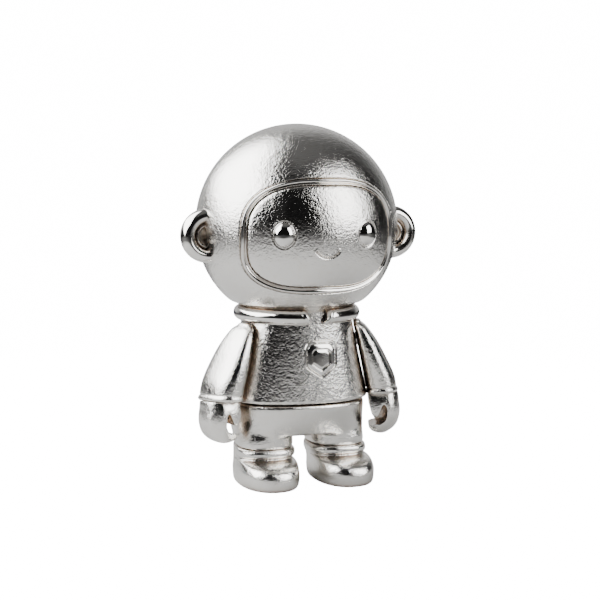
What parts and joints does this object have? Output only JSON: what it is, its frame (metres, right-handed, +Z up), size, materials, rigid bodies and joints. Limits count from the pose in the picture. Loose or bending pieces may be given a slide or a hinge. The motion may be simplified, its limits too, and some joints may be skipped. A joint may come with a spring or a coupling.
{
  "type": "toy figure",
  "caption": "Plated metal toy figure of an astronaut child with a round helmet and face plate; its head, waist, arms and hands turn on internal posts.",
  "frame": {"origin": "on the standing surface, under the middle of the helmet", "axes": "+Z up, the figure faces -Y, its own left side is +X"},
  "size_m": [0.0684, 0.0566, 0.1],
  "materials": {
    "plated_grain": "bright plating over a fine hammered grain",
    "plated_smooth": "bright smooth plating",
    "inner_steel": "turned, unplated",
    "inner_bush": "moulded, matt"
  },
  "bodies": {
    "legs": {"trousers": "plated_grain", "boot_left": "plated_grain", "boot_right": "plated_grain", "boot_screws": "inner_steel", "waist_post": "inner_steel", "waist_clip": "inner_steel"},
    "torso": {"torso_front": "plated_grain", "torso_back": "plated_grain", "torso_pins": "inner_steel", "collar_ring": "plated_smooth", "badge": "plated_smooth", "neck_post": "inner_steel", "neck_clip": "inner_steel"},
    "head": {"helmet_front": "plated_grain", "helmet_back": "plated_grain", "helmet_pins": "inner_steel", "visor_ring": "plated_smooth", "face_plate": "plated_grain", "eye_left": "plated_smooth", "eye_right": "plated_smooth", "ear_ring_left": "plated_smooth", "ear_ring_right": "plated_smooth", "ear_dish_left": "plated_smooth", "ear_dish_right": "plated_smooth", "neck_socket": "inner_bush"},
    "arm_left": {"sleeve_left": "plated_grain", "shoulder_pin_left": "inner_steel"},
    "arm_right": {"sleeve_right": "plated_grain", "shoulder_pin_right": "inner_steel"},
    "hand_left": {"hand_left": "plated_grain", "wrist_peg_left": "inner_bush"},
    "hand_right": {"hand_right": "plated_grain", "wrist_peg_right": "inner_bush"}
  },
  "joints": [
    {"name": "waist_turn", "type": "hinge", "parent": "legs", "child": "torso", "pos_m": [0, 0, 0.0234], "axis": [0, 0, 1], "range_deg": [-35, 35]},
    {"name": "head_turn", "type": "hinge", "parent": "torso", "child": "head", "pos_m": [0, 0, 0.05], "axis": [0, 0, 1], "range_deg": [-90, 90]},
    {"name": "shoulder_left_swing", "type": "hinge", "parent": "torso", "child": "arm_left", "pos_m": [0.01651, -0.00452, 0.0396], "axis": [-0.9303, 0.3023, -0.2079], "range_deg": [-40, 90]},
    {"name": "shoulder_right_swing", "type": "hinge", "parent": "torso", "child": "arm_right", "pos_m": [-0.01651, -0.00452, 0.0396], "axis": [-0.9303, -0.3023, 0.2079], "range_deg": [-40, 90]},
    {"name": "wrist_left_turn", "type": "hinge", "parent": "arm_left", "child": "hand_left", "pos_m": [0.0242, -0.00513, 0.0238], "axis": [-0.0723, 0.1146, 0.9908], "range_deg": [-24, 24]},
    {"name": "wrist_right_turn", "type": "hinge", "parent": "arm_right", "child": "hand_right", "pos_m": [-0.0242, -0.00513, 0.0238], "axis": [0.0723, 0.1146, 0.9908], "range_deg": [-24, 24]}
  ]
}
